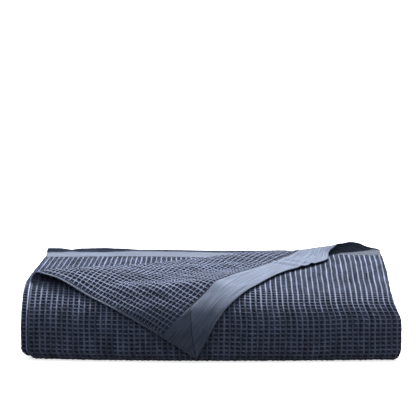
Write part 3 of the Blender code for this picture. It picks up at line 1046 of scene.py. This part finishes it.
def waffle_cotton():
    material = bpy.data.materials.new("waffle_cotton_look")
    material.use_nodes = True
    tree = material.node_tree
    shader = tree.nodes["Principled BSDF"]
    cells = tree.nodes.new("ShaderNodeUVMap")
    cells.uv_map = "cells"
    ridge = tree.nodes.new("ShaderNodeAttribute")
    ridge.attribute_name = "ridge"
    plain = tree.nodes.new("ShaderNodeAttribute")
    plain.attribute_name = "plain"
    split = node(tree, "ShaderNodeSeparateXYZ", Vector=cells.outputs[0])
    cell_u, cell_s = split.outputs[0], split.outputs[1]

    def noise(vector, **settings):
        return node(tree, "ShaderNodeTexNoise", Vector=vector, **settings).outputs["Fac"]

    slub = noise(cells.outputs[0], Scale=SLUB_SCALE, Detail=4.0, Roughness=0.65)
    broad = noise(cells.outputs[0], Scale=BROAD_SCALE, Detail=2.0)
    across_cloth = stretched(tree, cell_u, cell_s, *STREAK_SCALE)
    streaks = noise(across_cloth, Scale=1.0, Detail=3.0, Roughness=0.6)
    along_cloth = stretched(tree, cell_u, cell_s, *RIB_SCALE)
    ribs = noise(along_cloth, Scale=1.0, Detail=2.0)

    thread_u, thread_s = thread_waves(tree, cell_u, cell_s, WAFFLE_THREADS)
    half_u, half_s = (maths(tree, "MULTIPLY", wave, 0.5) for wave in (thread_u, thread_s))
    waffle_thread = maths(tree, "ADD", half_u, half_s)
    plain_thread = maths(tree, "MULTIPLY", *thread_waves(tree, cell_u, cell_s, PLAIN_THREADS))

    # The ridge attribute's paleness, with painted shade in the hollows, seams and top hem and a
    # painted highlight on the woven edge
    height = maths(tree, "POWER", ridge.outputs["Fac"], WALL_SHADE_POWER)
    yarn = mix_colour(tree, height, HOLLOW_SHADE_BLUE, PALE_BLUE)
    tone = maths(tree, "ADD", slub, 0.5)
    tone = maths(tree, "MULTIPLY", tone, maths(tree, "MULTIPLY_ADD", broad, 0.5, 0.75))
    tone = maths(tree, "MULTIPLY", tone, maths(tree, "MULTIPLY", ribs, 2.0))
    woven = mix_colour(tree, 1.0, yarn, tone, "MULTIPLY")
    # The hem's streaks are painted light and shade of its fine wrinkles; the same noise also bumps
    # them
    flat_tone = maths(tree, "MULTIPLY_ADD", streaks, 2.4, -0.20)
    flat_tone = maths(tree, "MULTIPLY", flat_tone, maths(tree, "MULTIPLY_ADD", broad, 0.3, 0.85))
    flat_tone = maths(tree, "MULTIPLY", flat_tone, ridge.outputs["Fac"])
    flat = mix_colour(tree, 1.0, YARN_BLUE, flat_tone, "MULTIPLY")
    colour = mix_colour(tree, plain.outputs["Fac"], woven, flat)
    tree.links.new(colour, shader.inputs["Base Color"])

    surface = maths(tree, "MULTIPLY_ADD", waffle_thread, 0.35, slub)
    flat_surface = maths(tree, "MULTIPLY_ADD", plain_thread, 0.2, streaks)
    mixed = tree.nodes.new("ShaderNodeMix")
    for socket, value in ((0, plain.outputs["Fac"]), (2, surface), (3, flat_surface)):
        feed(tree, mixed.inputs[socket], value)
    bump = node(tree, "ShaderNodeBump", Strength=0.55, Distance=0.0005, Height=mixed.outputs[0])
    tree.links.new(bump.outputs[0], shader.inputs["Normal"])
    shader.inputs["Roughness"].default_value = 0.88
    shader.inputs["Specular IOR Level"].default_value = 0.15
    shader.inputs["Sheen Weight"].default_value = 0.10
    shader.inputs["Sheen Roughness"].default_value = 0.45
    shader.inputs["Sheen Tint"].default_value = SHEEN_BLUE
    return material


# -------------------------------------------------------------------- pieces

# How far past the side fold the top panel's piece goes on
TOP_PIECE_MARGIN = 0.012


def row_at(v):
    return int(np.searchsorted(V_EDGES, v))


def column_at(u):
    return int(np.searchsorted(U_EDGES, u))


def make_pieces():
    cotton = waffle_cotton()
    foot = row_at(FOOT_END)
    middle = row_at(sum(HIDDEN_RUN) / 2)
    first = column_at(PANEL_STARTS[1] + TOP_PIECE_MARGIN)
    blocks = (
        ("blanket_top_panel", (0, foot), (0, first)),
        ("blanket_under_panels", (0, foot), (first, COLUMNS)),
        ("blanket_base_run", (foot, middle), (0, COLUMNS)),
        ("blanket_inner_runs", (middle, ROWS), (0, COLUMNS)),
    )
    for name, row_range, column_range in blocks:
        skin = Skin()
        skin.weave(row_range, column_range)
        if row_range[0] == 0:
            hem_strip(skin, column_range, False)
        if row_range[1] == ROWS:
            hem_strip(skin, column_range, True)
        if column_range[0] == 0:
            edge_strip(skin, row_range, False)
        if column_range[1] == COLUMNS:
            edge_strip(skin, row_range, True)
        for far_side, column in ((False, 0), (True, COLUMNS)):
            for far_end, row in ((False, 0), (True, ROWS)):
                if row in row_range and column in column_range:
                    mitre_gusset(skin, far_side, far_end)
        piece = skin.finish(name, cotton)
        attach(piece, "root")
        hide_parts("blanket")
        print(name, "triangles", sum(len(p.vertices) - 2 for p in piece.data.polygons))


# --------------------------------------------------------------------- stage

FLOOR_SIZE = 80.0
FLOOR_WHITE = (0.90, 0.90, 0.90, 1.0)
FLOOR_GLOW = 0.75
FLOOR_ROUGHNESS = 0.9

# The sky's colour below and above the horizon, where one gives way to the other, and
# its strength
SKY_LOW = (0.04, 0.045, 0.06, 1.0)
SKY_HIGH = (0.84, 0.91, 1.0, 1.0)
SKY_LOW_END = 0.45
SKY_HIGH_START = 0.60
SKY_STRENGTH = 0.30

# The camera: the image's width and the focal length in pixels, the place, the tilt
# below level in degrees, and how far it sees
IMAGE_WIDTH = 416.0
FOCAL_PIXELS = 1848.0
SENSOR_WIDTH = 36.0
CAMERA_PLACE = (-0.0040, -2.8441, 0.590)
CAMERA_TILT = 7.70
CAMERA_SIGHT = 200.0


def make_floor():
    mesh = bpy.data.meshes.new("floor")
    half = FLOOR_SIZE / 2
    corners = [(-half, -half, 0), (half, -half, 0), (half, half, 0), (-half, half, 0)]
    mesh.from_pydata(corners, [], [(0, 1, 2, 3)])
    floor = bpy.data.objects.new("floor", mesh)
    bpy.context.scene.collection.objects.link(floor)
    material = bpy.data.materials.new("floor_white")
    material.use_nodes = True
    shader = material.node_tree.nodes["Principled BSDF"]
    shader.inputs["Base Color"].default_value = FLOOR_WHITE
    shader.inputs["Roughness"].default_value = FLOOR_ROUGHNESS
    shader.inputs["Emission Color"].default_value = (1.0, 1.0, 1.0, 1.0)
    shader.inputs["Emission Strength"].default_value = FLOOR_GLOW
    mesh.materials.append(material)
    floor.visible_diffuse = False


def sun(name, azimuth, elevation, spread, strength, colour):
    """A soft sun, by the direction it shines from, in degrees."""
    lamp = bpy.data.lights.new(name, "SUN")
    lamp.energy = strength
    lamp.angle = math.radians(spread)
    lamp.color = colour
    obj = bpy.data.objects.new(name, lamp)
    obj.rotation_euler = (math.radians(90 - elevation), 0.0, math.radians(azimuth))
    bpy.context.scene.collection.objects.link(obj)


def make_light():
    sun(
        "key_above_behind",
        azimuth=174.0,
        elevation=50.0,
        spread=18.0,
        strength=10.4,
        colour=(1.0, 0.99, 0.97),
    )
    sun(
        "soft_overhead",
        azimuth=0.0,
        elevation=86.0,
        spread=90.0,
        strength=1.1,
        colour=(0.96, 0.98, 1.0),
    )
    world = bpy.data.worlds.new("studio")
    world.use_nodes = True
    tree = world.node_tree
    background = tree.nodes["Background"]
    sky = tree.nodes.new("ShaderNodeTexCoord")
    split = node(tree, "ShaderNodeSeparateXYZ", Vector=sky.outputs["Generated"])
    above = tree.nodes.new("ShaderNodeValToRGB")
    low, high = above.color_ramp.elements
    low.position, low.color = SKY_LOW_END, SKY_LOW
    high.position, high.color = SKY_HIGH_START, SKY_HIGH
    tree.links.new(maths(tree, "MULTIPLY_ADD", split.outputs[2], 0.5, 0.5), above.inputs["Fac"])
    tree.links.new(above.outputs["Color"], background.inputs["Color"])
    background.inputs["Strength"].default_value = SKY_STRENGTH
    bpy.context.scene.world = world
    bpy.context.scene.view_settings.view_transform = "Standard"


def make_camera():
    lens = bpy.data.cameras.new("camera")
    lens.sensor_width = SENSOR_WIDTH
    lens.lens = FOCAL_PIXELS / IMAGE_WIDTH * SENSOR_WIDTH
    lens.clip_end = CAMERA_SIGHT
    camera = bpy.data.objects.new("camera", lens)
    camera.location = CAMERA_PLACE
    camera.rotation_euler = (math.radians(90.0 - CAMERA_TILT), 0.0, 0.0)
    bpy.context.scene.collection.objects.link(camera)
    bpy.context.scene.camera = camera


make_camera()
make_pieces()
make_floor()
make_light()
